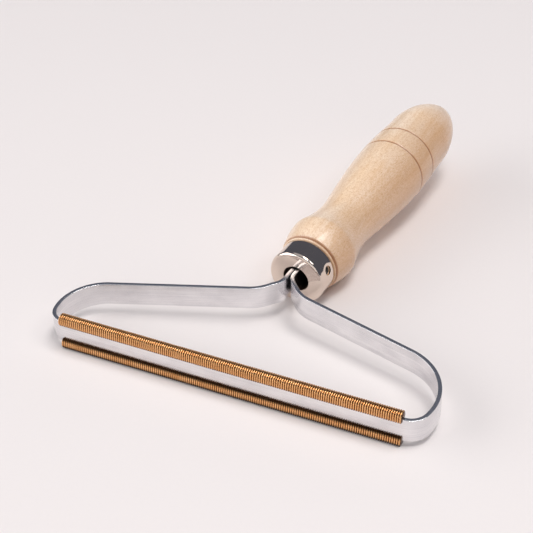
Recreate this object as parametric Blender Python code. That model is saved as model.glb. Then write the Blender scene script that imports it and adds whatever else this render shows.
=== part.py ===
"""Fabric comb: a hand tool that pulls lint and pilling off cloth.

A turned wooden handle carries a steel ferrule. A flat steel band is bent into a wide loop whose two
tails run through the ferrule into the handle, where one cross pin holds them. Two ribbed metal combs
are pressed over the long edges of the band's straight front.

Sizes are in millimetres and angles in degrees. In the tool's own frame X runs along the combs,
Y points from the combs to the handle and Z is square to the loop. The whole tool is then tipped
until the lower comb and the handle's shoulder both touch the ground.
"""
import math

import bmesh
import bpy
from mathutils import Matrix, Vector

MM = 0.001

# Air left between two pieces that touch on the real tool
FIT = 0.3

# The band: flat strip on edge, bent by hand, so its two sides differ a little
STRIP_HEIGHT = 9.6
STRIP_THICKNESS = 1.5
HALF_WIDTH = 75.0
LEFT_FRONT_RADIUS = 6.8
LEFT_FRONT_ANGLE = 78.4
LEFT_REAR_RADIUS = 18.1
LEFT_ARM_ANGLE = 19.6
RIGHT_FRONT_RADIUS = 7.0
RIGHT_FRONT_ANGLE = 73.4
RIGHT_REAR_RADIUS = 23.1
RIGHT_ARM_ANGLE = 15.4
NECK_OUTER_RADIUS = 14.3
NECK_ANGLE = 47.5
NECK_RUN = 4.5
NECK_INNER_RADIUS = 6.6
TAIL_GAP = 0.4
TAIL_DEPTH = 34.0

# The combs
COMB_RADIUS = 2.47
COMB_LENGTH = 134.4
COMB_OFFSET = -0.8
COMB_RIBS = 160
RIB_DEPTH = 0.3
EDGE_TO_COMB_AXIS = 0.58
LAND_CUT = 0.45
LAND_WIDTH = 1.8

# Where the handle sits: its axis leaves the loop slightly out of square
FACE_FROM_FRONT = 61.3
HANDLE_YAW = 5.4

# The ferrule: a drawn cap with a round hole for the tails
FERRULE_RADIUS = 11.65
FERRULE_LENGTH = 9.7
FERRULE_WALL = 0.8
FERRULE_EDGE_RADIUS = 2.0

# The cross pin, measured along the handle's axis from the ferrule's face
PIN_FROM_FACE = 6.5
PIN_ROLL = 18.0
PIN_RADIUS = 1.2
PIN_HEAD_RADIUS = 1.6
PIN_HEAD_LENGTH = 0.9
PIN_SUNK = 0.35

# The handle's turned shape, measured along its axis from the ferrule's face
LIP_STEP = 0.45
LIP_LENGTH = 0.9
GROOVE_WIDTH = 0.9
GROOVE_DEPTH = 0.6
SHOULDER_AT = 22.5
SHOULDER_RADIUS = 14.4
WAIST_AT = 40.5
WAIST_RADIUS = 11.4
SWELL_AT = 86.5
SWELL_RADIUS = 15.1
BUTT_AT = 110.5
BUTT_RADIUS = 14.1
HANDLE_END = 136.5
BUTT_FULLNESS = 1.75
WAIST_LEAD = 0.6
SWELL_LEAD = 0.7
RING_AT = (83.6, 95.3)
RING_WIDTH = 0.8
RING_DEPTH = 0.4
BORE_SPARE = 1.5

# Facets: sides of round pieces, degrees in each step of a bend, and steps along each curve
ROUND_SIDES = 40
SMALL_SIDES = 16
ARC_STEP = 9.0
SHARP_ANGLE = 35.0
RISE_STEPS = 4
WAIST_STEPS = 6
SWELL_STEPS = 7
BUTT_STEPS = 4
DOME_STEPS = 6
EDGE_STEPS = 4
COMB_TOP_ANGLE = 60.0
COMB_STRIDE = 8

# Search for the angle at which the tool rests
BELLY_SAMPLES = 400
STEEPEST_TIP = 45.0
HALVINGS = 50

# Sizes that follow from the ones above
TAIL_OFFSET = (TAIL_GAP + STRIP_THICKNESS) / 2
TAIL_CORNER = math.hypot(TAIL_OFFSET + STRIP_THICKNESS / 2, STRIP_HEIGHT / 2)
HOLE_RADIUS = TAIL_CORNER + FIT
TENON_RADIUS = FERRULE_RADIUS - FERRULE_WALL - FIT
TENON_FRONT = FERRULE_WALL + FIT
LIP_AT = FERRULE_LENGTH + FIT
LIP_RADIUS = FERRULE_RADIUS + LIP_STEP
GROOVE_AT = LIP_AT + LIP_LENGTH + GROOVE_WIDTH / 2
RISE_AT = GROOVE_AT + GROOVE_WIDTH / 2
RISE_RADIUS = LIP_RADIUS + LIP_STEP
COMB_AXIS = STRIP_HEIGHT / 2 + EDGE_TO_COMB_AXIS
LAND_DROP = COMB_RADIUS - LAND_CUT
YAW = math.radians(HANDLE_YAW)


def clear_scene():
    for thing in list(bpy.data.objects):
        bpy.data.objects.remove(thing, do_unlink=True)


def finish(name, colour, roughness, metallic):
    material = bpy.data.materials.new(name)
    material.use_nodes = True
    shader = material.node_tree.nodes["Principled BSDF"]
    shader.inputs["Base Color"].default_value = (*colour, 1.0)
    shader.inputs["Roughness"].default_value = roughness
    shader.inputs["Metallic"].default_value = metallic
    return material


def add_object(name, bm, parent, material=None):
    """Turns a bmesh drawn in millimetres into an object under its parent."""
    bmesh.ops.scale(bm, vec=(MM, MM, MM), verts=bm.verts)
    bmesh.ops.recalc_face_normals(bm, faces=bm.faces)
    mesh = bpy.data.meshes.new(name)
    bm.to_mesh(mesh)
    bm.free()
    thing = bpy.data.objects.new(name, mesh)
    bpy.context.scene.collection.objects.link(thing)
    thing.parent = parent
    if material:
        mesh.materials.append(material)
        mesh.shade_smooth()
        mesh.set_sharp_from_angle(angle=math.radians(SHARP_ANGLE))
    return thing


def add_empty(name, parent=None, place=(0, 0, 0), turn=(0, 0, 0)):
    empty = bpy.data.objects.new(name, None)
    bpy.context.scene.collection.objects.link(empty)
    empty.parent = parent
    empty.location = Vector(place) * MM
    empty.rotation_euler = turn
    return empty


def cut(thing, cutter):
    """Takes a cutter away from a piece and keeps the cutter out of the model."""
    cutter.hide_render = True
    cutter.display_type = "WIRE"
    boolean = thing.modifiers.new("cut", "BOOLEAN")
    boolean.operation = "DIFFERENCE"
    boolean.solver = "EXACT"
    boolean.object = cutter


def ease(share, lead=1.0):
    """Runs smoothly from 0 to 1; a lead under 1 does most of the change early."""
    early = share ** lead
    return early * early * (3 - 2 * early)


def turned(profile, sides):
    """Spins (along, radius) points about the Y axis; a radius of 0 is one point on the axis."""
    bm = bmesh.new()
    rings = []
    for along, radius in profile:
        if radius == 0:
            rings.append([bm.verts.new((0, along, 0))])
            continue
        angles = [2 * math.pi * k / sides for k in range(sides)]
        rings.append([bm.verts.new((radius * math.cos(a), along, radius * math.sin(a))) for a in angles])
    pairs = list(zip(rings, rings[1:]))
    if profile[0][1] and profile[-1][1]:
        pairs.append((rings[-1], rings[0]))
    for one, two in pairs:
        for k in range(sides):
            after = (k + 1) % sides
            corners = [one[k % len(one)], one[after % len(one)], two[after % len(two)], two[k % len(two)]]
            bm.faces.new(list(dict.fromkeys(corners)))
    return bm


def handle_radius(along):
    """The turned outline from behind the ferrule to the butt, without its cut grooves."""
    if along <= RISE_AT:
        return LIP_RADIUS
    if along <= SHOULDER_AT:
        share = (along - RISE_AT) / (SHOULDER_AT - RISE_AT)
        return RISE_RADIUS + (SHOULDER_RADIUS - RISE_RADIUS) * math.sin(share * math.pi / 2)
    if along <= WAIST_AT:
        share = (along - SHOULDER_AT) / (WAIST_AT - SHOULDER_AT)
        return SHOULDER_RADIUS + (WAIST_RADIUS - SHOULDER_RADIUS) * ease(share, WAIST_LEAD)
    if along <= SWELL_AT:
        share = (along - WAIST_AT) / (SWELL_AT - WAIST_AT)
        return WAIST_RADIUS + (SWELL_RADIUS - WAIST_RADIUS) * ease(share, SWELL_LEAD)
    if along <= BUTT_AT:
        share = (along - SWELL_AT) / (BUTT_AT - SWELL_AT)
        return SWELL_RADIUS + (BUTT_RADIUS - SWELL_RADIUS) * ease(share)
    share = min((along - BUTT_AT) / (HANDLE_END - BUTT_AT), 1.0)
    return BUTT_RADIUS * (1 - share ** BUTT_FULLNESS) ** (1 / BUTT_FULLNESS)


def handle_profile():
    """Bore, tenon, lip, groove, shoulder, waist, swell with two rings, and the round butt."""
    bore_end = TAIL_DEPTH + BORE_SPARE
    points = [(bore_end, 0), (bore_end, HOLE_RADIUS), (TENON_FRONT, HOLE_RADIUS)]
    points += [(TENON_FRONT, TENON_RADIUS), (LIP_AT, TENON_RADIUS), (LIP_AT, LIP_RADIUS)]
    points += [(LIP_AT + LIP_LENGTH, LIP_RADIUS), (GROOVE_AT, LIP_RADIUS - GROOVE_DEPTH)]
    points.append((RISE_AT, RISE_RADIUS))
    bounds = (RISE_AT, SHOULDER_AT, WAIST_AT, SWELL_AT, BUTT_AT)
    counts = (RISE_STEPS, WAIST_STEPS, SWELL_STEPS, BUTT_STEPS)
    stations = []
    for start, end, steps in zip(bounds, bounds[1:], counts):
        stations += [start + (end - start) * k / steps for k in range(1, steps + 1)]
    stations = [s for s in stations if all(abs(s - ring) > RING_WIDTH for ring in RING_AT)]
    cuts = {}
    for ring in RING_AT:
        cuts[ring] = RING_DEPTH
        stations += [ring - RING_WIDTH / 2, ring, ring + RING_WIDTH / 2]
    for k in range(1, DOME_STEPS):
        stations.append(BUTT_AT + (HANDLE_END - BUTT_AT) * math.sin(math.pi / 2 * k / DOME_STEPS))
    for station in sorted(stations):
        points.append((station, handle_radius(station) - cuts.get(station, 0)))
    points.append((HANDLE_END, 0))
    return points


def ferrule_profile():
    """Front face, rounded edge, skirt, and the same inside the sheet."""
    inner = FERRULE_RADIUS - FERRULE_WALL
    points = [(0, HOLE_RADIUS)]
    for k in range(EDGE_STEPS + 1):
        angle = math.pi / 2 * k / EDGE_STEPS
        reach = FERRULE_EDGE_RADIUS * math.sin(angle)
        back = FERRULE_EDGE_RADIUS * (1 - math.cos(angle))
        points.append((back, FERRULE_RADIUS - FERRULE_EDGE_RADIUS + reach))
    points += [(FERRULE_LENGTH, FERRULE_RADIUS), (FERRULE_LENGTH, inner)]
    points += [(FERRULE_WALL, inner), (FERRULE_WALL, HOLE_RADIUS)]
    return points


def bend(path, radius, heading):
    """Adds an arc to a path of (x, y, heading) that ends on the given heading."""
    x, y, start = path[-1]
    sign = math.copysign(1, heading - start)
    steps = max(2, math.ceil(abs(math.degrees(heading - start)) / ARC_STEP))
    for k in range(1, steps + 1):
        now = start + (heading - start) * k / steps
        run_x = sign * radius * (math.sin(now) - math.sin(start))
        run_y = sign * radius * (math.cos(start) - math.cos(now))
        path.append((x + run_x, y + run_y, now))


def run_straight(path, length):
    x, y, heading = path[-1]
    path.append((x + length * math.cos(heading), y + length * math.sin(heading), heading))


def band_side(front_radius, front_angle, rear_radius, arm_angle, side):
    """One side of the band's centre line, from the middle of the front to the tail's end.

    The path is drawn as the right side (side is 1); the left one (side is -1) is its mirror image.
    The arm's length follows from where the tail must meet the handle's axis.
    """
    turn = math.radians(front_angle)
    arm = math.pi - math.radians(arm_angle)
    neck = math.pi - math.radians(NECK_ANGLE)
    tail = math.pi / 2 - side * YAW
    corner_reach = front_radius * math.sin(turn) + rear_radius * (1 - math.sin(turn))
    path = [(0, 0, 0)]
    run_straight(path, HALF_WIDTH - STRIP_THICKNESS / 2 - corner_reach)
    bend(path, front_radius, turn)
    bend(path, rear_radius, arm)
    neck_path = [(0, 0, arm)]
    bend(neck_path, NECK_OUTER_RADIUS, neck)
    run_straight(neck_path, NECK_RUN)
    bend(neck_path, NECK_INNER_RADIUS, tail)
    x, y, _ = path[-1]
    neck_x, neck_y, _ = neck_path[-1]
    slope = side * math.tan(YAW)
    axis_x = slope * (y + neck_y - FACE_FROM_FRONT) + TAIL_OFFSET / math.cos(YAW)
    arm_length = (axis_x - x - neck_x) / (math.cos(arm) - slope * math.sin(arm))
    run_straight(path, arm_length)
    bend(path, NECK_OUTER_RADIUS, neck)
    run_straight(path, NECK_RUN)
    bend(path, NECK_INNER_RADIUS, tail)
    run_straight(path, (FACE_FROM_FRONT - path[-1][1]) / math.sin(tail) + TAIL_DEPTH)
    return path


def make_band(parent, material):
    """Sweeps the strip's rectangle along the left side, the front and the right side."""
    left = band_side(LEFT_FRONT_RADIUS, LEFT_FRONT_ANGLE, LEFT_REAR_RADIUS, LEFT_ARM_ANGLE, -1)
    right = band_side(RIGHT_FRONT_RADIUS, RIGHT_FRONT_ANGLE, RIGHT_REAR_RADIUS, RIGHT_ARM_ANGLE, 1)
    stations = [(-1, *point) for point in reversed(left[1:])] + [(1, *point) for point in right[1:]]
    half = STRIP_THICKNESS / 2
    top = STRIP_HEIGHT / 2
    bm = bmesh.new()
    rings = []
    for side, x, y, heading in stations:
        ring = []
        for out, height in ((half, -top), (half, top), (-half, top), (-half, -top)):
            across = side * (x + out * math.sin(heading))
            ring.append(bm.verts.new((across, y - out * math.cos(heading), height)))
        rings.append(ring)
    for one, two in zip(rings, rings[1:]):
        for k in range(4):
            bm.faces.new((one[k], one[k - 1], two[k - 1], two[k]))
    bm.faces.new(rings[0])
    bm.faces.new(rings[-1][::-1])
    return add_object("head_band", bm, parent, material)


def comb_outline(radius, lean):
    """Round section about the comb's axis with its slot upwards.

    Points are (y, z) from one lip of the slot round the outside to the other lip. With a lean, the
    far side is a flat land that faces the ground once the tool is tipped by that angle.
    """
    lip = STRIP_THICKNESS / 2 + FIT
    lip_height = math.sqrt((COMB_RADIUS - RIB_DEPTH) ** 2 - lip ** 2)
    outline = [(lip, lip_height), (radius, 0)]
    if lean is None:
        low = math.radians(COMB_TOP_ANGLE)
        outline += [(radius * math.cos(low), -radius * math.sin(low))]
        outline += [(-radius * math.cos(low), -radius * math.sin(low))]
    else:
        for across in (LAND_WIDTH / 2, -LAND_WIDTH / 2):
            along = across * math.cos(lean) - LAND_DROP * math.sin(lean)
            down = -across * math.sin(lean) - LAND_DROP * math.cos(lean)
            outline.append((along, down))
    outline += [(-radius, 0), (-lip, lip_height)]
    return outline


def make_comb(name, parent, material, flip, lean=None):
    """A sleeve with ribs all along it, slit so that it slides over the band's edge."""
    lip = STRIP_THICKNESS / 2 + FIT
    slot_floor = EDGE_TO_COMB_AXIS - FIT
    start = COMB_OFFSET - COMB_LENGTH / 2
    count = 2 * COMB_RIBS
    bm = bmesh.new()

    def vertex(x, y, z):
        return bm.verts.new((x, flip * y, flip * (z - COMB_AXIS)))

    rings = []
    floors = []
    for k in range(count + 1):
        x = start + COMB_LENGTH * k / count
        radius = COMB_RADIUS - RIB_DEPTH * (1 - k % 2)
        rings.append([vertex(x, y, z) for y, z in comb_outline(radius, lean)])
        if k % COMB_STRIDE == 0:
            floors.append((vertex(x, lip, slot_floor), vertex(x, -lip, slot_floor)))
    for one, two in zip(rings, rings[1:]):
        for k in range(len(one) - 1):
            bm.faces.new((one[k], one[k + 1], two[k + 1], two[k]))
    middle = COMB_STRIDE // 2
    for number, (near, far) in enumerate(zip(floors, floors[1:])):
        first = number * COMB_STRIDE
        bm.faces.new((near[0], near[1], far[1], far[0]))
        for edge in (0, 1):
            lips = [rings[first + k][-edge] for k in range(COMB_STRIDE + 1)]
            for k in range(COMB_STRIDE):
                anchor = near[edge] if k < middle else far[edge]
                bm.faces.new((lips[k], lips[k + 1], anchor))
            bm.faces.new((near[edge], lips[middle], far[edge]))
    for ring, floor in ((rings[0], floors[0]), (rings[-1], floors[-1])):
        bm.faces.new(ring + [floor[1], floor[0]])
    return add_object(name, bm, parent, material)


def make_pin(parent, material):
    """A plain pin with a small head sunk under the ferrule's skin, drawn along +Y from its inner end."""
    head_top = FERRULE_RADIUS - PIN_SUNK
    inner_end = -(TENON_RADIUS - FIT)
    profile = [(inner_end, 0), (inner_end, PIN_RADIUS), (head_top - PIN_HEAD_LENGTH, PIN_RADIUS)]
    profile += [(head_top - PIN_HEAD_LENGTH, PIN_HEAD_RADIUS), (head_top, PIN_HEAD_RADIUS), (head_top, 0)]
    return add_object("cross_pin", turned(profile, SMALL_SIDES), parent, material)


def pin_cutter(name, parent):
    """The stepped hole that the pin needs, one fit wider all round and open outwards."""
    head_floor = FERRULE_RADIUS - PIN_SUNK - PIN_HEAD_LENGTH - FIT
    outside = FERRULE_RADIUS + SHOULDER_RADIUS
    shank = PIN_RADIUS + FIT
    profile = [(-TENON_RADIUS, 0), (-TENON_RADIUS, shank), (head_floor, shank)]
    profile += [(head_floor, PIN_HEAD_RADIUS + FIT), (outside, PIN_HEAD_RADIUS + FIT), (outside, 0)]
    return add_object(name, turned(profile, SMALL_SIDES), parent)


def rest_tip():
    """The angle at which the lower comb's land and the handle's belly share one ground plane."""
    stations = [RISE_AT + (HANDLE_END - RISE_AT) * k / BELLY_SAMPLES for k in range(BELLY_SAMPLES + 1)]

    def handle_is_lower(tip):
        lean = math.sin(tip) * math.cos(YAW)
        reach = math.sqrt(1 - lean ** 2)
        belly = max(handle_radius(s) * reach - s * lean for s in stations) - FACE_FROM_FRONT * math.sin(tip)
        return belly > COMB_AXIS * math.cos(tip) + LAND_DROP

    low, high = 0.0, math.radians(STEEPEST_TIP)
    for _ in range(HALVINGS):
        middle = (low + high) / 2
        low, high = (middle, high) if handle_is_lower(middle) else (low, middle)
    return (low + high) / 2


def stand_on_ground(tool):
    """Moves the tool so that its box is centred on the origin and its lowest point is at zero."""
    bpy.context.view_layer.update()
    graph = bpy.context.evaluated_depsgraph_get()
    corners = []
    for thing in bpy.data.objects:
        if thing.type == "MESH" and not thing.hide_render:
            shape = thing.evaluated_get(graph).data
            corners += [thing.matrix_world @ vertex.co for vertex in shape.vertices]
    low = Vector([min(corner[k] for corner in corners) for k in range(3)])
    high = Vector([max(corner[k] for corner in corners) for k in range(3)])
    tool.location -= Vector(((low.x + high.x) / 2, (low.y + high.y) / 2, low.z))
    bpy.context.view_layer.update()


def build():
    clear_scene()
    wood = finish("lacquered_beech", (0.78, 0.56, 0.36), 0.42, 0.0)
    chrome = finish("chromed_steel", (0.62, 0.62, 0.63), 0.12, 1.0)
    steel = finish("bright_steel_strip", (0.72, 0.73, 0.74), 0.2, 1.0)
    copper = finish("copper_coloured_comb", (0.68, 0.40, 0.19), 0.3, 1.0)
    tip = rest_tip()
    tool = add_empty("tool", turn=(tip, 0, 0))
    axis = add_empty("handle_axis", tool, (0, FACE_FROM_FRONT, 0), (0, 0, -YAW))
    across = Matrix.Rotation(-math.radians(PIN_ROLL), 4, "Y") @ Matrix.Rotation(-math.pi / 2, 4, "Z")
    pin_axis = add_empty("pin_axis", axis, (0, PIN_FROM_FACE, 0), across.to_euler())

    handle = add_object("handle", turned(handle_profile(), ROUND_SIDES), axis, wood)
    ferrule = add_object("ferrule", turned(ferrule_profile(), ROUND_SIDES), axis, chrome)
    band = make_band(tool, steel)
    make_comb("upper_comb", tool, copper, -1)
    make_comb("lower_comb", tool, copper, 1, tip)
    make_pin(pin_axis, steel)
    hole = pin_cutter("pin_hole", pin_axis)
    for piece in (handle, ferrule, band):
        cut(piece, hole)
    stand_on_ground(tool)
    print("tipped by %.2f degrees" % math.degrees(tip))


build()
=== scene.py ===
# %% [markdown]
# # A fabric comb
# The object is a hand tool that pulls lint and pilling off cloth: a turned wooden handle, a plated
# ferrule, a flat steel band bent into a loop, and two ribbed combs pressed over the band's front edges.
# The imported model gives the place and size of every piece. This lesson makes the surfaces: it draws
# each piece again with finer curves, gives it a finish, and lights it as a studio would.

# %% Load the frame
import math

import bmesh
import bpy
from mathutils import Matrix, Vector


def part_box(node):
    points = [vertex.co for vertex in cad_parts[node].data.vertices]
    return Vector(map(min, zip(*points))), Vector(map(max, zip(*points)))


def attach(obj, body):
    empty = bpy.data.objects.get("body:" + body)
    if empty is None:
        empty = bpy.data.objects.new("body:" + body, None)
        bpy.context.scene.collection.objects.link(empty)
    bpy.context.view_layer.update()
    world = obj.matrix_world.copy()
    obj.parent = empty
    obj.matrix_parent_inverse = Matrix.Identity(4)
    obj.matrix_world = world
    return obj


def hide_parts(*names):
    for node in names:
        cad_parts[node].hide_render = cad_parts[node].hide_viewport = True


MM = 0.001
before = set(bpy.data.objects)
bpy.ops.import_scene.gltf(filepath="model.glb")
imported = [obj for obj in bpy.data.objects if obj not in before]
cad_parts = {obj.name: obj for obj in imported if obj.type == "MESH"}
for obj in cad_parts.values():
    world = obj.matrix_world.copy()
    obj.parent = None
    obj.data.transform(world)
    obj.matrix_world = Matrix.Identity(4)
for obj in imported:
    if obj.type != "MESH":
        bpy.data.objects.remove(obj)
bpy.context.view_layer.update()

# %% [markdown]
# ## The tool's own frame
# The tool was designed lying flat: X along the combs, Y towards the handle. On the table it is tipped,
# because the lower comb and the handle's shoulder touch the ground. The tilt could be typed in, but
# the two combs already tell it: one sits straight above the other on the flat design, so how far they
# are shifted on the table gives the angle. Sizes here are in millimetres.

# %% Find the tool's frame from its combs
STRIP_HEIGHT = 9.6
EDGE_TO_COMB_AXIS = 0.58
COMB_OFFSET = -0.8
LAND_DROP = 2.02
FACE_FROM_FRONT = 61.3
HANDLE_YAW = math.radians(5.4)

COMB_AXIS = STRIP_HEIGHT / 2 + EDGE_TO_COMB_AXIS


def node_middle(node):
    low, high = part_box(node)
    return (Vector(low) + Vector(high)) / (2 * MM)


above = node_middle("upper_comb")
below = node_middle("lower_comb")
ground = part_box("lower_comb")[0][2] / MM
tip = math.asin((below.y - above.y) / (2 * COMB_AXIS))
origin_height = ground + LAND_DROP + COMB_AXIS * math.cos(tip)
origin = Vector((below.x - COMB_OFFSET, (above.y + below.y) / 2, origin_height))
TOOL = Matrix.Translation(origin * MM) @ Matrix.Rotation(tip, 4, "X")
HANDLE = TOOL @ Matrix.Translation((0, FACE_FROM_FRONT * MM, 0)) @ Matrix.Rotation(-HANDLE_YAW, 4, "Z")
print("tipped by %.3f degrees, origin at" % math.degrees(tip), [round(v, 3) for v in origin], "mm")

# %% [markdown]
# ## Small helpers
# Every finish and every node tree below is written with one function that adds a node, sets it up and
# links it. Colours are written as the sRGB codes a paint program shows, and one function makes them
# linear, which is what Blender's shaders expect. A finished mesh is moved to its place in its points,
# so that its object can stay at the origin.

# %% Helpers for nodes, colours and pieces
# A Mix node that is set to colours keeps its factor, its two colours and their mix in these sockets.
MIX_FACTOR, MIX_FIRST, MIX_SECOND = 0, 6, 7
MIX_RESULT = 2


def linear(code):
    """An sRGB colour such as "#D8B080" as linear red, green, blue and alpha."""
    channels = [int(code[k:k + 2], 16) / 255 for k in (1, 3, 5)]
    return [c / 12.92 if c <= 0.04045 else ((c + 0.055) / 1.055) ** 2.4 for c in channels] + [1.0]


def add(tree, kind, settings=None, inputs=None):
    """Adds a node to a tree; an input, by name or number, gets a plain value or the socket that feeds it."""
    made = tree.nodes.new(kind)
    for name, value in (settings or {}).items():
        setattr(made, name, value)
    for name, value in (inputs or {}).items():
        if isinstance(value, bpy.types.NodeSocket):
            tree.links.new(value, made.inputs[name])
        else:
            made.inputs[name].default_value = value
    return made


def new_finish(name, **sockets):
    """A material whose Principled shader has the given plain values; returns it with its parts."""
    material = bpy.data.materials.new(name)
    material.use_nodes = True
    tree = material.node_tree
    shader = tree.nodes["Principled BSDF"]
    for socket, value in sockets.items():
        shader.inputs[socket.replace("_", " ").title().replace("Ior", "IOR")].default_value = value
    return material, tree, shader


def settle(name, mesh, place, node, finish, sharp_degrees):
    """Puts a finished mesh in its place as the piece that stands for a node of the frame."""
    mesh.transform(place)
    mesh.materials.clear()
    mesh.materials.append(finish)
    mesh.shade_smooth()
    mesh.set_sharp_from_angle(angle=math.radians(sharp_degrees))
    piece = bpy.data.objects.new(name, mesh)
    bpy.context.scene.collection.objects.link(piece)
    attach(piece, "root")
    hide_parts(node)
    corners = [[f(v.co[k] for v in mesh.vertices) / MM for k in range(3)] for f in (min, max)]
    frame_corners = [[c / MM for c in corner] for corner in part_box(node)]
    stray = max(abs(a - b) for one, two in zip(corners, frame_corners) for a, b in zip(one, two))
    print(name, len(mesh.polygons), "faces, box within %.2f mm of the frame's" % stray)
    return piece


def lathe(name, profile, sides, attribute=None):
    """Turns (along, radius, value) points about the Y axis; the values go to a named attribute."""
    bm = bmesh.new()
    layer = bm.verts.layers.float.new(attribute) if attribute else None
    rings = []
    for along, radius, value in profile:
        ring = []
        for k in range(sides if radius else 1):
            angle = 2 * math.pi * k / sides
            vertex = bm.verts.new((radius * math.cos(angle), along, radius * math.sin(angle)))
            if attribute:
                vertex[layer] = value
            ring.append(vertex)
        rings.append(ring)
    pairs = list(zip(rings, rings[1:]))
    if profile[0][1] and profile[-1][1]:
        pairs.append((rings[-1], rings[0]))
    for one, two in pairs:
        for k in range(sides):
            n = (k + 1) % sides
            corners = [one[k % len(one)], one[n % len(one)], two[n % len(two)], two[k % len(two)]]
            bm.faces.new(list(dict.fromkeys(corners)))
    bmesh.ops.scale(bm, vec=(MM, MM, MM), verts=bm.verts)
    bmesh.ops.recalc_face_normals(bm, faces=bm.faces)
    mesh = bpy.data.meshes.new(name)
    bm.to_mesh(mesh)
    bm.free()
    return mesh


# %% [markdown]
# ## The handle's wood
# The handle is pale beech, turned, sanded and dipped in clear lacquer. Three things make it wood to
# the eye: long soft streaks of warmer and paler colour, short brown flecks where the rays of the tree
# are cut, and a lacquer that is slightly uneven, so its sheen breaks up. The wood is also painted darker
# and warmer towards the handle's right side, as painted shade, and its grooves were scorched with a wire
# on the lathe. The bore is painted near black, as painted shade in the ferrule's hole. An image would show
# all that, but a pattern in three dimensions needs no unwrapping and runs through the whole handle. A
# Mapping node turns the pattern into the handle's own direction and into millimetres.

# %% Lacquered beech
PATCH_WIDTH = 8.0
PATCH_LENGTH = 26.0
STREAK_WIDTH = 1.6
STREAK_LENGTH = 45.0
SPECKLE_WIDTH = 0.5
SPECKLE_LENGTH = 0.8
FLECK_WIDTH = 0.3
FLECK_LENGTH = 1.7
PATTERN_ROUGHNESS = 0.6
LACQUER_WAVE = 0.7
LACQUER_STRETCH = 1.5
LACQUER_DEPTH = 0.08
LACQUER_STRENGTH = 0.35
# Painted shade: where, across the handle in millimetres, the darker right side starts and where it is full.
RIGHT_SHADE_FROM = -1.0
RIGHT_SHADE_FULL = 16.0


def lacquered_beech():
    finish, tree, shader = new_finish("lacquered_beech", roughness=0.45, ior=1.5, coat_weight=1.0,
                                      coat_roughness=0.25)
    here = add(tree, "ShaderNodeTexCoord").outputs["Object"]
    wood = add(tree, "ShaderNodeMapping", {"vector_type": "TEXTURE"},
               {"Vector": here, "Location": HANDLE.translation, "Rotation": HANDLE.to_euler(),
                "Scale": (MM, MM, MM)}).outputs[0]

    def grain(width, length, detail):
        """Noise that is stretched along the handle, with lumps of the given size in millimetres."""
        lumps = add(tree, "ShaderNodeMapping", {},
                    {"Vector": wood, "Scale": (1 / width, 1 / length, 1 / width)}).outputs[0]
        return add(tree, "ShaderNodeTexNoise", {},
                   {"Vector": lumps, "Scale": 1.0, "Detail": detail,
                    "Roughness": PATTERN_ROUGHNESS}).outputs["Fac"]

    def tint(under, level, low, high, most, code):
        """Lays a colour over another one, more and more as a level goes from low to high."""
        share = add(tree, "ShaderNodeMapRange", {},
                    {"Value": level, "From Min": low, "From Max": high,
                     "To Min": 0.0, "To Max": most}).outputs[0]
        return add(tree, "ShaderNodeMix", {"data_type": "RGBA"},
                   {MIX_FACTOR: share, MIX_FIRST: under, MIX_SECOND: linear(code)}).outputs[MIX_RESULT]

    patches = grain(PATCH_WIDTH, PATCH_LENGTH, 3.0)
    streaks = grain(STREAK_WIDTH, STREAK_LENGTH, 3.0)
    speckle = grain(SPECKLE_WIDTH, SPECKLE_LENGTH, 2.0)
    flecks = grain(FLECK_WIDTH, FLECK_LENGTH, 1.0)
    across = add(tree, "ShaderNodeSeparateXYZ", {}, {"Vector": wood}).outputs["X"]
    burn_and_bore_shade = add(tree, "ShaderNodeAttribute", {"attribute_name": "burn_and_bore_shade"}).outputs["Fac"]
    # Each layer: what drives it, where it starts and where it is full, its greatest share, its colour.
    layers = (
        (patches, 0.35, 0.68, 1.0, "#F6D6B4"),
        (streaks, 0.45, 0.75, 0.4, "#DDAC78"),
        (speckle, 0.42, 0.68, 0.6, "#DAAF80"),
        (flecks, 0.56, 0.72, 0.45, "#C4905F"),
        # Painted shade: the wood turns darker and warmer towards the handle's right side.
        (across, RIGHT_SHADE_FROM, RIGHT_SHADE_FULL, 0.65, "#BC8044"),
        (burn_and_bore_shade, 0.0, 0.8, 0.9, "#9A5A24"),
        # Painted shade: only the bore reaches this near black.
        (burn_and_bore_shade, 0.85, 1.0, 0.95, "#120C08"),
    )
    tone = linear("#FBE3CA")
    for level, low, high, most, code in layers:
        tone = tint(tone, level, low, high, most, code)
    tree.links.new(tone, shader.inputs["Base Color"])

    waves = grain(LACQUER_WAVE, LACQUER_STRETCH * LACQUER_WAVE, 3.0)
    bump = add(tree, "ShaderNodeBump", {},
               {"Height": waves, "Strength": LACQUER_STRENGTH, "Distance": LACQUER_DEPTH * MM})
    tree.links.new(bump.outputs[0], shader.inputs["Normal"])
    tree.links.new(bump.outputs[0], shader.inputs["Coat Normal"])
    return finish


beech = lacquered_beech()
print("finish:", beech.name)

# %% [markdown]
# ## The handle
# A turned piece is its outline spun about an axis. The outline runs from the blind bore over the tenon
# that the ferrule covers, the thin lip and the first groove, the shoulder, the waist, the swell with its
# two rings, and the round butt. Only a few sizes along the axis drive it, and a smooth step joins them.
# The same points carry how scorched the wood is, so the grooves' colour follows their shape. The bore gets
# the highest value, which paints it near black as painted shade in the hole.

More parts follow.
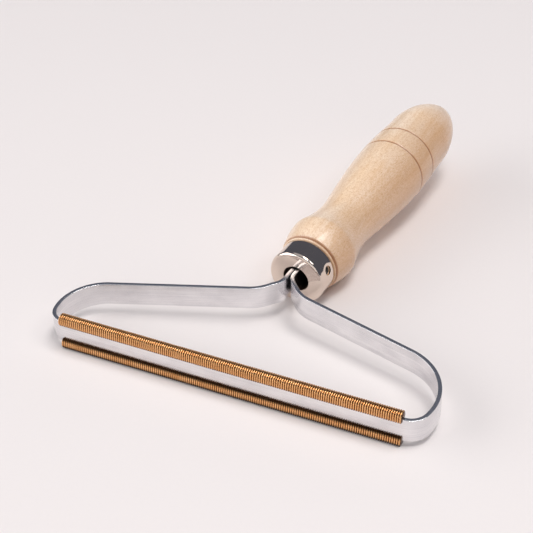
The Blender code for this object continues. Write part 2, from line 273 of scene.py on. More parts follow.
# %% Turn the handle
FIT = 0.3
FERRULE_RADIUS = 11.65
FERRULE_LENGTH = 9.7
FERRULE_WALL = 0.8
HOLE_RADIUS = 5.39
BORE_END = 35.5
LIP_STEP = 0.45
LIP_LENGTH = 0.9
LIP_ROUND = 0.2
GROOVE_WIDTH = 0.9
GROOVE_DEPTH = 0.6
GROOVE_EDGE_LONG = 0.15
GROOVE_EDGE_SHORT = 0.1
SHOULDER_AT, SHOULDER_RADIUS = 22.5, 14.4
WAIST_AT, WAIST_RADIUS = 40.5, 11.4
SWELL_AT, SWELL_RADIUS = 86.5, 15.1
BUTT_AT, BUTT_RADIUS = 110.5, 14.1
HANDLE_END = 136.5
BUTT_FULLNESS = 1.75
WAIST_LEAD = 0.6
SWELL_LEAD = 0.7
RING_AT = (83.6, 95.3)
RING_WIDTH = 1.3
RING_DEPTH = 0.2
RING_STEPS = 8
RING_REACH = 6
EDGE_BURN = 0.1
WALL_BURN = 0.5
FLOOR_BURN = 0.8
# The bore's value paints it near black, as painted shade in the hole.
BORE_SHADE = 1.0
STATION_STEP = 0.8
DOME_STEPS = 28
HANDLE_SIDES = 112
TURNED_SHARP_ANGLE = 40

TENON_FRONT = FERRULE_WALL + FIT
TENON_RADIUS = FERRULE_RADIUS - FERRULE_WALL - FIT
LIP_AT = FERRULE_LENGTH + FIT
LIP_RADIUS = FERRULE_RADIUS + LIP_STEP
GROOVE_AT = LIP_AT + LIP_LENGTH + GROOVE_WIDTH / 2
RISE_AT = GROOVE_AT + GROOVE_WIDTH / 2
RISE_RADIUS = LIP_RADIUS + LIP_STEP


def smooth_step(share, lead=1.0):
    early = share ** lead
    return early * early * (3 - 2 * early)


def handle_radius(along):
    """The outline behind the first groove, without the two rings."""
    if along <= SHOULDER_AT:
        share = (along - RISE_AT) / (SHOULDER_AT - RISE_AT)
        return RISE_RADIUS + (SHOULDER_RADIUS - RISE_RADIUS) * math.sin(share * math.pi / 2)
    if along <= WAIST_AT:
        share = (along - SHOULDER_AT) / (WAIST_AT - SHOULDER_AT)
        return SHOULDER_RADIUS + (WAIST_RADIUS - SHOULDER_RADIUS) * smooth_step(share, WAIST_LEAD)
    if along <= SWELL_AT:
        share = (along - WAIST_AT) / (SWELL_AT - WAIST_AT)
        return WAIST_RADIUS + (SWELL_RADIUS - WAIST_RADIUS) * smooth_step(share, SWELL_LEAD)
    if along <= BUTT_AT:
        share = (along - SWELL_AT) / (BUTT_AT - SWELL_AT)
        return SWELL_RADIUS + (BUTT_RADIUS - SWELL_RADIUS) * smooth_step(share)
    share = min((along - BUTT_AT) / (HANDLE_END - BUTT_AT), 1.0)
    return BUTT_RADIUS * (1 - share ** BUTT_FULLNESS) ** (1 / BUTT_FULLNESS)


def ring_cut(along):
    """How deep the nearest ring is at a place, from 0 on the surface to 1 at the ring's floor."""
    away = min(abs(along - ring) for ring in RING_AT) / (RING_WIDTH / 2)
    return math.cos(min(away, 1.0) * math.pi / 2) ** 2


def handle_profile():
    """The whole outline as (along, radius, scorch or bore shade) points, from the bore's end to the butt."""
    lip_end = LIP_AT + LIP_LENGTH
    points = [(BORE_END, 0, BORE_SHADE), (BORE_END, HOLE_RADIUS, BORE_SHADE)]
    points.append((TENON_FRONT, HOLE_RADIUS, BORE_SHADE))
    points += [(TENON_FRONT, TENON_RADIUS, 0), (LIP_AT, TENON_RADIUS, 0)]
    points += [(LIP_AT, LIP_RADIUS - LIP_ROUND, 0), (LIP_AT + LIP_ROUND, LIP_RADIUS, 0)]
    points.append((lip_end - GROOVE_EDGE_LONG, LIP_RADIUS, EDGE_BURN))
    points.append((lip_end, LIP_RADIUS - GROOVE_EDGE_SHORT, WALL_BURN))
    points.append((GROOVE_AT, LIP_RADIUS - GROOVE_DEPTH, FLOOR_BURN))
    points.append((RISE_AT - GROOVE_EDGE_SHORT, RISE_RADIUS - GROOVE_EDGE_LONG, WALL_BURN))
    points.append((RISE_AT, RISE_RADIUS, EDGE_BURN))
    count = round((BUTT_AT - RISE_AT) / STATION_STEP)
    stations = [RISE_AT + (BUTT_AT - RISE_AT) * k / count for k in range(1, count + 1)]
    stations = [s for s in stations if min(abs(s - ring) for ring in RING_AT) > RING_WIDTH]
    for ring in RING_AT:
        stations += [ring + RING_WIDTH * k / RING_STEPS for k in range(-RING_REACH, RING_REACH + 1)]
    stations += [BUTT_AT + (HANDLE_END - BUTT_AT) * math.sin(math.pi / 2 * k / DOME_STEPS)
                 for k in range(1, DOME_STEPS)]
    for s in sorted(stations):
        cut = ring_cut(s)
        points.append((s, handle_radius(s) - RING_DEPTH * cut, FLOOR_BURN * math.sqrt(cut)))
    return points + [(HANDLE_END, 0, 0)]


handle_mesh = lathe("turned_handle", handle_profile(), HANDLE_SIDES, "burn_and_bore_shade")
settle("turned_handle", handle_mesh, HANDLE, "handle", beech, TURNED_SHARP_ANGLE)

# %% [markdown]
# ## The ferrule and its pin
# The ferrule is a cap drawn from thin sheet and plated with nickel, which is why it looks warmer than
# chrome. It is turned like the handle. Where the pin was driven in, the sheet is dished, and that small
# dent catches the light, so the points near the pin are pushed inwards before the hole is cut. The cut
# is a Boolean, because a hole across a round wall is no clean outline. The pin's steel is painted nearly
# black, as painted shade in its hole.

# %% Nickel plate and pin steel
# Real polishing marks are finer than this; they are drawn this coarse so that they show.
GRIT_SIZE = 0.35
GRIT_DEPTH = 0.02
GRIT_STRENGTH = 0.05
GRIT_LOW = 0.3
GRIT_HIGH = 0.7


def polished_metal(name, code, roughness, spread):
    """A bright metal with faint polishing marks that make its gloss uneven."""
    finish, tree, shader = new_finish(name, metallic=1.0)
    shader.inputs["Base Color"].default_value = linear(code)
    here = add(tree, "ShaderNodeTexCoord").outputs["Object"]
    marks = add(tree, "ShaderNodeTexNoise", {},
                {"Vector": here, "Scale": 1 / (GRIT_SIZE * MM), "Detail": 4.0,
                 "Roughness": PATTERN_ROUGHNESS}).outputs["Fac"]
    gloss = add(tree, "ShaderNodeMapRange", {},
                {"Value": marks, "From Min": GRIT_LOW, "From Max": GRIT_HIGH,
                 "To Min": roughness, "To Max": roughness + spread}).outputs[0]
    tree.links.new(gloss, shader.inputs["Roughness"])
    bump = add(tree, "ShaderNodeBump", {},
               {"Height": marks, "Strength": GRIT_STRENGTH, "Distance": GRIT_DEPTH * MM})
    tree.links.new(bump.outputs[0], shader.inputs["Normal"])
    return finish


nickel = polished_metal("nickel_plate", "#E2D2C5", 0.07, 0.06)
# The pin's nearly black colour is painted shade for the hole it sits in.
shaded_pin = polished_metal("pin_steel_in_painted_shade", "#322E2C", 0.2, 0.1)
print("finishes:", nickel.name, shaded_pin.name)

# %% Draw the ferrule
FACE_EDGE_RADIUS = 1.4
HOLE_EDGE_RADIUS = 0.4
REAR_EDGE_RADIUS = 0.3
EDGE_STEPS = 12
SMALL_EDGE_STEPS = 5
SKIRT_STEPS = 18
FERRULE_SIDES = 160
CUTTER_SIDES = 48
SHEET_SHARP_ANGLE = 50
PIN_FROM_FACE = 6.5
PIN_ROLL = math.radians(18.0)
PIN_HEAD_RADIUS = 1.6
PIN_RADIUS = 1.2
DISH_RADIUS = 3.4
DISH_DEPTH = 0.55

PIN_TURN = Matrix.Rotation(-PIN_ROLL, 4, "Y") @ Matrix.Rotation(-math.pi / 2, 4, "Z")
PIN = HANDLE @ Matrix.Translation((0, PIN_FROM_FACE * MM, 0)) @ PIN_TURN


def quarter(along, radius, size, start, steps):
    """Points of a quarter round about a centre, counted from straight forwards towards outwards."""
    angles = [start + math.pi / 2 * k / steps for k in range(steps + 1)]
    return [(along - size * math.cos(a), radius + size * math.sin(a), 0) for a in angles]


def ferrule_profile():
    inner = FERRULE_RADIUS - FERRULE_WALL
    hole_round = HOLE_RADIUS + HOLE_EDGE_RADIUS
    points = quarter(HOLE_EDGE_RADIUS, hole_round, HOLE_EDGE_RADIUS, -math.pi / 2, SMALL_EDGE_STEPS)
    edge_at = FERRULE_RADIUS - FACE_EDGE_RADIUS
    points += quarter(FACE_EDGE_RADIUS, edge_at, FACE_EDGE_RADIUS, 0, EDGE_STEPS)
    rear = FERRULE_LENGTH - REAR_EDGE_RADIUS
    run = rear - FACE_EDGE_RADIUS
    points += [(FACE_EDGE_RADIUS + run * k / SKIRT_STEPS, FERRULE_RADIUS, 0) for k in range(1, SKIRT_STEPS)]
    rear_round = FERRULE_RADIUS - REAR_EDGE_RADIUS
    points += quarter(rear, rear_round, REAR_EDGE_RADIUS, math.pi / 2, SMALL_EDGE_STEPS)
    points += [(FERRULE_LENGTH, inner, 0)]
    points += [(rear - (rear - FERRULE_WALL) * k / SKIRT_STEPS, inner, 0) for k in range(SKIRT_STEPS + 1)]
    return points + [(FERRULE_WALL, HOLE_RADIUS, 0)]


def dish_round_pin(mesh):
    """Pushes the sheet in where the pin was driven through it."""
    across = PIN_TURN.to_3x3() @ Vector((0, 1, 0))
    centre = Vector((0, PIN_FROM_FACE * MM, 0))
    for vertex in mesh.vertices:
        from_pin = vertex.co - centre
        height = from_pin.dot(across)
        away = (from_pin - across * height).length / (DISH_RADIUS * MM)
        if height > 0 and away < 1:
            vertex.co -= across * (DISH_DEPTH * MM * (1 - away ** 2) ** 2)


def cut_out(mesh, cutter_mesh):
    """The mesh with the cutter taken away, as a new plain mesh."""
    body = bpy.data.objects.new("body", mesh)
    cutter = bpy.data.objects.new("cutter", cutter_mesh)
    for thing in (body, cutter):
        bpy.context.scene.collection.objects.link(thing)
    boolean = body.modifiers.new("cut", "BOOLEAN")
    boolean.object = cutter
    boolean.solver = "EXACT"
    bpy.context.view_layer.update()
    graph = bpy.context.evaluated_depsgraph_get()
    result = bpy.data.meshes.new_from_object(body.evaluated_get(graph))
    bpy.data.objects.remove(body)
    bpy.data.objects.remove(cutter)
    return result


ferrule_mesh = lathe("drawn_ferrule", ferrule_profile(), FERRULE_SIDES)
dish_round_pin(ferrule_mesh)
pin_bore = PIN_HEAD_RADIUS + FIT
bore_profile = [(0, 0, 0), (0, pin_bore, 0), (SHOULDER_RADIUS, pin_bore, 0), (SHOULDER_RADIUS, 0, 0)]
hole_cutter = lathe("pin_hole", bore_profile, CUTTER_SIDES)
hole_cutter.transform(HANDLE.inverted() @ PIN)
ferrule_mesh = cut_out(ferrule_mesh, hole_cutter)
ferrule_mesh.name = "drawn_ferrule"
settle("drawn_ferrule", ferrule_mesh, HANDLE, "ferrule", nickel, SHEET_SHARP_ANGLE)

# %% Drive the pin
PIN_SUNK = 0.75
PIN_DOME = 0.45
PIN_HEAD_LENGTH = 0.9
PIN_SIDES = 40

pin_rim = FERRULE_RADIUS - PIN_SUNK - PIN_DOME
pin_neck = pin_rim - PIN_HEAD_LENGTH / 2
pin_end = FIT - TENON_RADIUS
pin_profile = [(pin_end, 0, 0), (pin_end, PIN_RADIUS, 0)]
pin_profile += [(pin_neck, PIN_RADIUS, 0), (pin_neck, PIN_HEAD_RADIUS, 0)]
dome_angles = [math.pi / 2 * k / EDGE_STEPS for k in range(EDGE_STEPS)]
pin_profile += [(pin_rim + PIN_DOME * math.sin(a), PIN_HEAD_RADIUS * math.cos(a), 0) for a in dome_angles]
pin_profile += [(pin_rim + PIN_DOME, 0, 0)]
pin_mesh = lathe("driven_pin", pin_profile, PIN_SIDES)
settle("driven_pin", pin_mesh, PIN, "cross_pin", shaded_pin, TURNED_SHARP_ANGLE)

# %% [markdown]
# ## The band
# The loop is one length of bright steel strip. Its edges are nearly square, with a tiny rounding that
# draws a line along the strip. Geometry Nodes sweep the rounded section along a path, so the path is
# all that has to be drawn. It is made of straight runs and bends, as the strip was bent, and
# the left and right sides differ a little because it was bent by hand. The tree also stores how far along
# the strip each point is, which the finish needs for its rolling marks.

# %% Bend the path of the strip
STRIP_THICKNESS = 1.5
HALF_WIDTH = 75.0
LEFT_BENDS = {"front_radius": 6.8, "front_angle": 78.4, "rear_radius": 18.1, "arm_angle": 19.6, "side": -1}
RIGHT_BENDS = {"front_radius": 7.0, "front_angle": 73.4, "rear_radius": 23.1, "arm_angle": 15.4, "side": 1}
NECK_OUTER_RADIUS = 14.3
NECK_ANGLE = math.radians(47.5)
NECK_RUN = 4.5
NECK_INNER_RADIUS = 6.6
TAIL_GAP = 0.4
TAIL_DEPTH = 34.0
BEND_STEP = math.radians(2.5)

TAIL_OFFSET = (TAIL_GAP + STRIP_THICKNESS) / 2


def bend(path, radius, heading):
    """Goes on round a bend of a path, whose points are (x, y, heading), until it has the new heading."""
    x, y, start = path[-1]
    sign = math.copysign(1, heading - start)
    steps = math.ceil(abs(heading - start) / BEND_STEP)
    for k in range(1, steps + 1):
        now = start + (heading - start) * k / steps
        run_x = sign * radius * (math.sin(now) - math.sin(start))
        run_y = sign * radius * (math.cos(start) - math.cos(now))
        path.append((x + run_x, y + run_y, now))


def run_straight(path, length):
    x, y, heading = path[-1]
    path.append((x + length * math.cos(heading), y + length * math.sin(heading), heading))


def bend_neck(path, neck, tail):
    bend(path, NECK_OUTER_RADIUS, neck)
    run_straight(path, NECK_RUN)
    bend(path, NECK_INNER_RADIUS, tail)


def band_side(front_radius, front_angle, rear_radius, arm_angle, side):
    """One side from the middle of the front to the tail's end; the left one is drawn as a right one."""
    turn = math.radians(front_angle)
    arm = math.pi - math.radians(arm_angle)
    neck = math.pi - NECK_ANGLE
    tail = math.pi / 2 - side * HANDLE_YAW
    corner = front_radius * math.sin(turn) + rear_radius * (1 - math.sin(turn))
    path = [(0, 0, 0)]
    run_straight(path, HALF_WIDTH - STRIP_THICKNESS / 2 - corner)
    bend(path, front_radius, turn)
    bend(path, rear_radius, arm)
    trial = [(0, 0, arm)]
    bend_neck(trial, neck, tail)
    slope = side * math.tan(HANDLE_YAW)
    tail_x = slope * (path[-1][1] + trial[-1][1] - FACE_FROM_FRONT) + TAIL_OFFSET / math.cos(HANDLE_YAW)
    run_straight(path, (tail_x - path[-1][0] - trial[-1][0]) / (math.cos(arm) - slope * math.sin(arm)))
    bend_neck(path, neck, tail)
    run_straight(path, (FACE_FROM_FRONT - path[-1][1]) / math.sin(tail) + TAIL_DEPTH)
    return path


left_path = [(-x, y) for x, y, _ in band_side(**LEFT_BENDS)]
right_path = [(x, y) for x, y, _ in band_side(**RIGHT_BENDS)]
band_path = left_path[:0:-1] + right_path[1:]
print("strip's path:", len(band_path), "points")


# %% Helpers for Geometry Nodes
def new_tree(name, sizes):
    """A Geometry Nodes tree with named inputs for its sizes; returns it with its two end nodes."""
    tree = bpy.data.node_groups.new(name, "GeometryNodeTree")
    tree.interface.new_socket("Geometry", in_out="INPUT", socket_type="NodeSocketGeometry")
    for size in sizes:
        tree.interface.new_socket(size, in_out="INPUT", socket_type="NodeSocketFloat")
    tree.interface.new_socket("Geometry", in_out="OUTPUT", socket_type="NodeSocketGeometry")
    return tree, add(tree, "NodeGroupInput"), add(tree, "NodeGroupOutput")


def close_tree(tree, result, finish, end):
    """Ends a tree in Realize Instances and Set Material."""
    real = add(tree, "GeometryNodeRealizeInstances", {}, {"Geometry": result})
    painted = add(tree, "GeometryNodeSetMaterial", {}, {"Geometry": real.outputs[0], "Material": finish})
    tree.links.new(painted.outputs[0], end.inputs[0])


def polyline(name, points, cyclic):
    curve = bpy.data.curves.new(name, "CURVE")
    curve.dimensions = "3D"
    spline = curve.splines.new("POLY")
    spline.points.add(len(points) - 1)
    for target, point in zip(spline.points, points):
        target.co = [c * MM for c in point] + [1.0]
    spline.use_cyclic_u = cyclic
    return bpy.data.objects.new(name, curve)


def grow(seed, tree, sizes):
    """Runs a tree on a curve object and returns the result as a plain mesh."""
    bpy.context.scene.collection.objects.link(seed)
    modifier = seed.modifiers.new(tree.name, "NODES")
    modifier.node_group = tree
    for item in tree.interface.items_tree:
        if item.in_out == "INPUT" and item.name in sizes:
            modifier[item.identifier] = float(sizes[item.name])
    bpy.context.view_layer.update()
    graph = bpy.context.evaluated_depsgraph_get()
    mesh = bpy.data.meshes.new_from_object(seed.evaluated_get(graph))
    bpy.data.objects.remove(seed)
    bm = bmesh.new()
    bm.from_mesh(mesh)
    bmesh.ops.recalc_face_normals(bm, faces=bm.faces)
    bm.to_mesh(mesh)
    bm.free()
    return mesh


# %% Bright rolled steel strip
# Real rolling lines are finer than this; they are drawn this coarse so that they show.
ROLL_LINE_HEIGHT = 0.35
ROLL_LINE_LENGTH = 60.0
ROLL_LINE_DEPTH = 0.02
ROLL_LINE_STRENGTH = 0.08
HAZE_SIZE = 6.0
MARKS_LOW = 0.7
MARKS_HIGH = 1.3
STRIP_SMOOTH = 0.13
STRIP_HAZY = 0.27


def rolled_strip():
    """Cold rolled strip: bright, with faint lines along its length and a haze that comes and goes."""
    finish, tree, shader = new_finish("bright_rolled_strip", metallic=1.0)
    here = add(tree, "ShaderNodeTexCoord").outputs["Object"]
    flat = add(tree, "ShaderNodeMapping", {"vector_type": "TEXTURE"},
               {"Vector": here, "Location": TOOL.translation, "Rotation": TOOL.to_euler(),
                "Scale": (MM, MM, MM)}).outputs[0]
    height = add(tree, "ShaderNodeSeparateXYZ", {}, {"Vector": flat}).outputs["Z"]
    along = add(tree, "ShaderNodeAttribute", {"attribute_name": "along_strip"}).outputs["Fac"]
    on_strip = add(tree, "ShaderNodeCombineXYZ", {}, {"X": along, "Y": height}).outputs[0]

    def marks(length, tall, detail):
        """Noise on the strip's flat side, with marks of the given size in millimetres."""
        spread = add(tree, "ShaderNodeMapping", {},
                     {"Vector": on_strip, "Scale": (1 / length, 1 / tall, 1.0)}).outputs[0]
        return add(tree, "ShaderNodeTexNoise", {},
                   {"Vector": spread, "Scale": 1.0, "Detail": detail,
                    "Roughness": PATTERN_ROUGHNESS}).outputs["Fac"]

    lines = marks(ROLL_LINE_LENGTH, ROLL_LINE_HEIGHT, 3.0)
    haze = marks(2 * HAZE_SIZE, HAZE_SIZE, 4.0)
    both = add(tree, "ShaderNodeMath", {"operation": "ADD"}, {0: lines, 1: haze}).outputs[0]
    gloss = add(tree, "ShaderNodeMapRange", {},
                {"Value": both, "From Min": MARKS_LOW, "From Max": MARKS_HIGH,
                 "To Min": STRIP_SMOOTH, "To Max": STRIP_HAZY}).outputs[0]
    tree.links.new(gloss, shader.inputs["Roughness"])
    shade = add(tree, "ShaderNodeMapRange", {},
                {"Value": both, "From Min": MARKS_LOW, "From Max": MARKS_HIGH}).outputs[0]
    tone = add(tree, "ShaderNodeMix", {"data_type": "RGBA"},
               {MIX_FACTOR: shade, MIX_FIRST: linear("#EFEEEF"),
                MIX_SECOND: linear("#D6D4D7")}).outputs[MIX_RESULT]
    tree.links.new(tone, shader.inputs["Base Color"])
    bump = add(tree, "ShaderNodeBump", {},
               {"Height": lines, "Strength": ROLL_LINE_STRENGTH, "Distance": ROLL_LINE_DEPTH * MM})
    tree.links.new(bump.outputs[0], shader.inputs["Normal"])
    return finish


strip_steel = rolled_strip()
print("finish:", strip_steel.name)

# %% Sweep the strip along its path
STRIP_EDGE_RADIUS = 0.16
STRIP_EDGE_POINTS = 5
STRIP_SHARP_ANGLE = 40


def strip_tree():
    tree, start, end = new_tree("swept_strip", ("Thickness", "Height", "Edge radius"))
    run = add(tree, "GeometryNodeSplineParameter").outputs["Length"]
    millimetres = add(tree, "ShaderNodeMath", {"operation": "DIVIDE"}, {0: run, 1: MM}).outputs[0]
    marked = add(tree, "GeometryNodeStoreNamedAttribute", {"data_type": "FLOAT", "domain": "POINT"},
                 {"Geometry": start.outputs["Geometry"], "Name": "along_strip",
                  "Value": millimetres}).outputs[0]
    upright = add(tree, "GeometryNodeSetCurveNormal", {"mode": "Z_UP"}, {"Curve": marked}).outputs[0]
    section = add(tree, "GeometryNodeCurvePrimitiveQuadrilateral", {},
                  {"Width": start.outputs["Thickness"], "Height": start.outputs["Height"]}).outputs[0]
    rolled = add(tree, "GeometryNodeFilletCurve", {"mode": "POLY"},
                 {"Curve": section, "Count": STRIP_EDGE_POINTS,
                  "Radius": start.outputs["Edge radius"]}).outputs[0]
    swept = add(tree, "GeometryNodeCurveToMesh", {},
                {"Curve": upright, "Profile Curve": rolled, "Fill Caps": True}).outputs[0]
    close_tree(tree, swept, strip_steel, end)
    return tree


band_curve = polyline("band_path", [(x, y, 0) for x, y in band_path], False)
strip_sizes = {"Thickness": STRIP_THICKNESS * MM, "Height": STRIP_HEIGHT * MM,
               "Edge radius": STRIP_EDGE_RADIUS * MM}
band_mesh = grow(band_curve, strip_tree(), strip_sizes)
settle("bent_band", band_mesh, TOOL, "head_band", strip_steel, STRIP_SHARP_ANGLE)

# %% [markdown]
# ## The combs
# Each comb is a copper-coloured sleeve with fine ribs all round it, slit along one side and pressed over
# the band's edge. The ribs do the work on cloth, and they also make the look: every rib carries its own
# tiny highlight. Modelling one rib and copying it would leave seams, so Geometry Nodes sweep the slit
# section along a line and let its size swell and shrink once per rib. The grooves between the ribs, the
# side by the slit, which faces the band and the other comb, and the part next to the ground are painted
# dark brown, as painted shade.

# %% Bright copper finish
TARNISH_SIZE = 4.0
TARNISH_LOW = 0.35
TARNISH_HIGH = 0.7
CREST_FROM = 0.1
CREST_FULL = 0.6
# Painted shade by the slit, between the band and the other comb, and next to the ground.
SLIT_SHADE_FROM = -0.8
SLIT_SHADE_FULL = -0.5
GROUND_SHADE_LOW = 1.0
GROUND_SHADE_HIGH = 1.9


def copper():
    """Bright copper alloy with painted shade: brown in the grooves, by the slit and next to the ground."""
    finish, tree, shader = new_finish("bright_copper", metallic=1.0, roughness=0.25)
    here = add(tree, "ShaderNodeTexCoord").outputs["Object"]
    patches = add(tree, "ShaderNodeTexNoise", {},
                  {"Vector": here, "Scale": 1 / (TARNISH_SIZE * MM), "Detail": 4.0,
                   "Roughness": PATTERN_ROUGHNESS}).outputs["Fac"]
    share = add(tree, "ShaderNodeMapRange", {},
                {"Value": patches, "From Min": TARNISH_LOW, "From Max": TARNISH_HIGH}).outputs[0]
    clean = add(tree, "ShaderNodeMix", {"data_type": "RGBA"},
                {MIX_FACTOR: share, MIX_FIRST: linear("#EBB882"),
                 MIX_SECOND: linear("#DEA66E")}).outputs[MIX_RESULT]
    crest = add(tree, "ShaderNodeAttribute", {"attribute_name": "crest"}).outputs["Fac"]
    shown = add(tree, "ShaderNodeMapRange", {},
                {"Value": crest, "From Min": CREST_FROM, "From Max": CREST_FULL}).outputs[0]
    # Painted shade: the grooves between the ribs are painted dark brown.
    ribbed = add(tree, "ShaderNodeMix", {"data_type": "RGBA"},
                 {MIX_FACTOR: shown, MIX_FIRST: linear("#664020"), MIX_SECOND: clean}).outputs[MIX_RESULT]
    # Painted shade: the side by the slit and the part next to the ground turn dark brown.
    away = add(tree, "ShaderNodeAttribute", {"attribute_name": "from_slit"}).outputs["Fac"]
    clear_of_slit_shade = add(tree, "ShaderNodeMapRange", {},
                 {"Value": away, "From Min": SLIT_SHADE_FROM, "From Max": SLIT_SHADE_FULL}).outputs[0]
    height = add(tree, "ShaderNodeSeparateXYZ", {}, {"Vector": here}).outputs["Z"]
    clear = add(tree, "ShaderNodeMapRange", {},
                {"Value": height, "From Min": GROUND_SHADE_LOW * MM, "From Max": GROUND_SHADE_HIGH * MM}).outputs[0]
    bright = add(tree, "ShaderNodeMath", {"operation": "MULTIPLY"}, {0: clear_of_slit_shade, 1: clear}).outputs[0]
    tone = add(tree, "ShaderNodeMix", {"data_type": "RGBA"},
               {MIX_FACTOR: bright, MIX_FIRST: linear("#472C16"), MIX_SECOND: ribbed}).outputs[MIX_RESULT]
    tree.links.new(tone, shader.inputs["Base Color"])
    return finish


bright_copper = copper()
print("finish:", bright_copper.name)

# %% Rib the combs
COMB_RADIUS = 2.47
COMB_LENGTH = 134.4
RIBS = 160
RIB_DEPTH = 0.42
RIB_POINTS = 8
RIB_SHARP_ANGLE = 50
ARC_POINTS = 22
SLOT_PLAY = 0.08
FLOOR_PLAY = 0.1

SLOT_HALF = STRIP_THICKNESS / 2 + SLOT_PLAY
SLOT_FLOOR = EDGE_TO_COMB_AXIS - FLOOR_PLAY


def comb_section(lean):
    """The slit sleeve's section as (y, z) points, slot upwards, flattened where it meets the ground."""
    lip = math.asin(SLOT_HALF / COMB_RADIUS)
    angles = [lip + (2 * math.pi - 2 * lip) * k / ARC_POINTS for k in range(ARC_POINTS + 1)]
    points = []
    for a in angles:
        y, z = COMB_RADIUS * math.sin(a), COMB_RADIUS * math.cos(a)
        if lean is not None:
            drop = y * math.sin(lean) + z * math.cos(lean)
            lift = max(-LAND_DROP - drop, 0)
            y, z = y + lift * math.sin(lean), z + lift * math.cos(lean)
        points.append((y, z))
    return points + [(-SLOT_HALF, SLOT_FLOOR), (SLOT_HALF, SLOT_FLOOR)]


def comb_tree():
    tree, start, end = new_tree("ribbed_sleeve", ("Length", "Ribs", "Rib depth", "Radius"))
    length, count = start.outputs["Length"], start.outputs["Ribs"]
    radius = start.outputs["Radius"]
    half = add(tree, "ShaderNodeMath", {"operation": "MULTIPLY"}, {0: length, 1: 0.5}).outputs[0]
    back = add(tree, "ShaderNodeMath", {"operation": "MULTIPLY"}, {0: half, 1: -1.0}).outputs[0]
    near = add(tree, "ShaderNodeCombineXYZ", {}, {"X": back}).outputs[0]
    far = add(tree, "ShaderNodeCombineXYZ", {}, {"X": half}).outputs[0]
    line = add(tree, "GeometryNodeCurvePrimitiveLine", {}, {"Start": near, "End": far}).outputs[0]
    steps = add(tree, "ShaderNodeMath", {"operation": "MULTIPLY_ADD"},
                {0: count, 1: float(RIB_POINTS), 2: 1.0}).outputs[0]
    fine = add(tree, "GeometryNodeResampleCurve", {}, {"Curve": line, "Count": steps}).outputs[0]
    upright = add(tree, "GeometryNodeSetCurveNormal", {"mode": "Z_UP"}, {"Curve": fine}).outputs[0]
    share = add(tree, "GeometryNodeSplineParameter").outputs["Factor"]
    turns = add(tree, "ShaderNodeMath", {"operation": "MULTIPLY"}, {0: share, 1: count}).outputs[0]
    phase = add(tree, "ShaderNodeMath", {"operation": "MULTIPLY"}, {0: turns, 1: math.pi}).outputs[0]
    wave = add(tree, "ShaderNodeMath", {"operation": "SINE"}, {0: phase}).outputs[0]
    crest = add(tree, "ShaderNodeMath", {"operation": "ABSOLUTE"}, {0: wave}).outputs[0]
    marked = add(tree, "GeometryNodeStoreNamedAttribute", {"data_type": "FLOAT", "domain": "POINT"},
                 {"Geometry": upright, "Name": "crest", "Value": crest}).outputs[0]
    valley = add(tree, "ShaderNodeMath", {"operation": "SUBTRACT"}, {0: crest, 1: 1.0}).outputs[0]
    depth = add(tree, "ShaderNodeMath", {"operation": "DIVIDE"},
                {0: start.outputs["Rib depth"], 1: radius}).outputs[0]
    size = add(tree, "ShaderNodeMath", {"operation": "MULTIPLY_ADD"},
               {0: valley, 1: depth, 2: 1.0}).outputs[0]
    position = add(tree, "GeometryNodeInputPosition").outputs[0]
    across = add(tree, "ShaderNodeSeparateXYZ", {}, {"Vector": position}).outputs["Y"]
    from_slit = add(tree, "ShaderNodeMath", {"operation": "DIVIDE"}, {0: across, 1: radius}).outputs[0]
    section = add(tree, "GeometryNodeStoreNamedAttribute", {"data_type": "FLOAT", "domain": "POINT"},
                  {"Geometry": start.outputs["Geometry"], "Name": "from_slit",
                   "Value": from_slit}).outputs[0]
    swept = add(tree, "GeometryNodeCurveToMesh", {},
                {"Curve": marked, "Profile Curve": section, "Scale": size, "Fill Caps": True}).outputs[0]
    close_tree(tree, swept, bright_copper, end)
    return tree


ribs = comb_tree()
comb_sizes = {"Length": COMB_LENGTH * MM, "Ribs": RIBS, "Rib depth": RIB_DEPTH * MM,
              "Radius": COMB_RADIUS * MM}
turned_over = Matrix.Rotation(math.pi, 4, "X")
# Each comb: its name, its node, above or below the band, and the lean of the land that it lies on.
combs = (
    ("upper_ribbed_comb", "upper_comb", 1, None),
    ("lower_ribbed_comb", "lower_comb", -1, tip),
)
for name, node, side, lean in combs:
    section = polyline(name + "_section", [(-y, -z, 0) for y, z in comb_section(lean)], True)
    mesh = grow(section, ribs, comb_sizes)
    stand = turned_over if side > 0 else Matrix.Identity(4)
    seat = Matrix.Translation((COMB_OFFSET * MM, 0, side * COMB_AXIS * MM)) @ stand
    settle(name, mesh, TOOL @ seat, node, bright_copper, RIB_SHARP_ANGLE)

# %% [markdown]
# ## Floor, light and camera
# The tool lies on a pale sheet of matt paper in a dim room. Most of the light falls from a strip lamp
# overhead, a little to the right. A small lamp further right draws the thin shadows beside the arms, and
# pale boards in front, behind and on the left fill the rest. Bright metal mirrors its surroundings, so
# the lamps were placed by what the ferrule and the combs show, and their strengths by the sheet: it gets
# about the brightness of its own colour. The camera is a long lens that looks down at the tool from the
# front, right of its middle, as in the photograph.

# %% Pale floor
FLOOR_SIZE = 6.0
# Real fibres are far finer; the paper's faint mottle is drawn this coarse so that it can show.
PAPER_GRAIN = 1.5

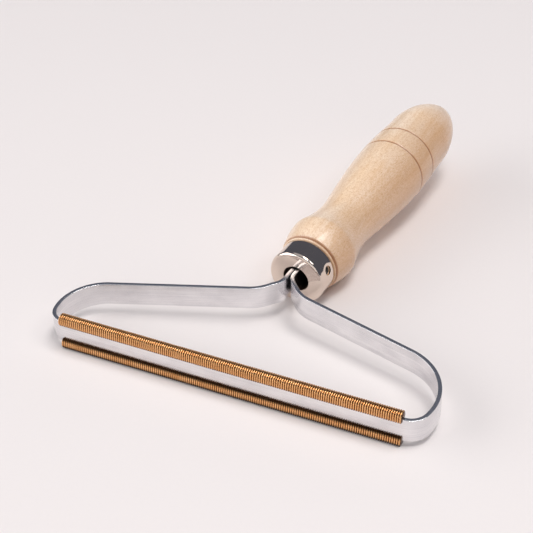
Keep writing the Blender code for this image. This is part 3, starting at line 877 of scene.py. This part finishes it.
paper, paper_tree, paper_shader = new_finish("pale_paper", roughness=0.85)
paper_here = add(paper_tree, "ShaderNodeTexCoord").outputs["Object"]
fibres = add(paper_tree, "ShaderNodeTexNoise", {},
             {"Vector": paper_here, "Scale": 1 / (PAPER_GRAIN * MM), "Detail": 3.0}).outputs["Fac"]
paper_tone = add(paper_tree, "ShaderNodeMix", {"data_type": "RGBA"},
                 {MIX_FACTOR: fibres, MIX_FIRST: linear("#EDE5E2"),
                  MIX_SECOND: linear("#EBE3E0")}).outputs[MIX_RESULT]
paper_tree.links.new(paper_tone, paper_shader.inputs["Base Color"])
sheet = bmesh.new()
bmesh.ops.create_grid(sheet, x_segments=1, y_segments=1, size=FLOOR_SIZE / 2)
floor_mesh = bpy.data.meshes.new("floor")
sheet.to_mesh(floor_mesh)
sheet.free()
floor_mesh.materials.append(paper)
floor = bpy.data.objects.new("floor", floor_mesh)
bpy.context.scene.collection.objects.link(floor)
print("floor:", FLOOR_SIZE, "m wide, of", paper.name)

# %% Dim room and soft lamps
ROOM_TONE = "#565A66"
LAMPS = {
    "ceiling_panel": {"place": (0.0, 0.0, 2.4), "size": (3.0, 3.0), "glow": 0.38},
    "strip_box": {"place": (0.44, -0.25, 2.0), "aim": (0.0, -0.25, 0.0), "size": (1.5, 0.55), "glow": 8.8},
    "side_box": {"place": (1.3, 0.05, 1.75), "size": (0.5, 0.5), "glow": 7.0},
    "front_board": {"place": (0.0, -2.4, 0.9), "size": (6.0, 1.8), "glow": 0.8},
    "back_board": {"place": (0.0, 2.4, 0.6), "size": (2.6, 1.2), "glow": 0.6},
    "left_board": {"place": (-2.1, -1.0, 1.0), "size": (3.0, 1.8), "glow": 2.1},
}

world = bpy.data.worlds.new("dim_room")
world.use_nodes = True
world.node_tree.nodes["Background"].inputs["Color"].default_value = linear(ROOM_TONE)
bpy.context.scene.world = world
for name, facts in LAMPS.items():
    lamp = bpy.data.lights.new(name, "AREA")
    lamp.shape = "RECTANGLE"
    lamp.size, lamp.size_y = facts["size"]
    lamp.energy = facts["glow"] * math.pi * lamp.size * lamp.size_y
    lamp_object = bpy.data.objects.new(name, lamp)
    lamp_object.location = facts["place"]
    from_aim = Vector(facts["place"]) - Vector(facts.get("aim", (0.0, 0.0, 0.0)))
    lamp_object.rotation_euler = from_aim.to_track_quat("Z", "Y").to_euler()
    bpy.context.scene.collection.objects.link(lamp_object)
print("lamps:", sorted(LAMPS))

# %% Camera
CAMERA_PLACE = (172.24, -443.35, 310.62)
CAMERA_TURN = (56.532, -0.309, 24.577)
CAMERA_LENS = 92.93

camera = bpy.data.cameras.new("camera")
camera.lens = CAMERA_LENS
camera_object = bpy.data.objects.new("camera", camera)
camera_object.location = Vector(CAMERA_PLACE) * MM
camera_object.rotation_euler = [math.radians(a) for a in CAMERA_TURN]
bpy.context.scene.collection.objects.link(camera_object)
bpy.context.scene.camera = camera_object
bpy.context.scene.view_settings.view_transform = "Standard"
print("camera: %.1f mm lens at" % CAMERA_LENS, CAMERA_PLACE, "mm")
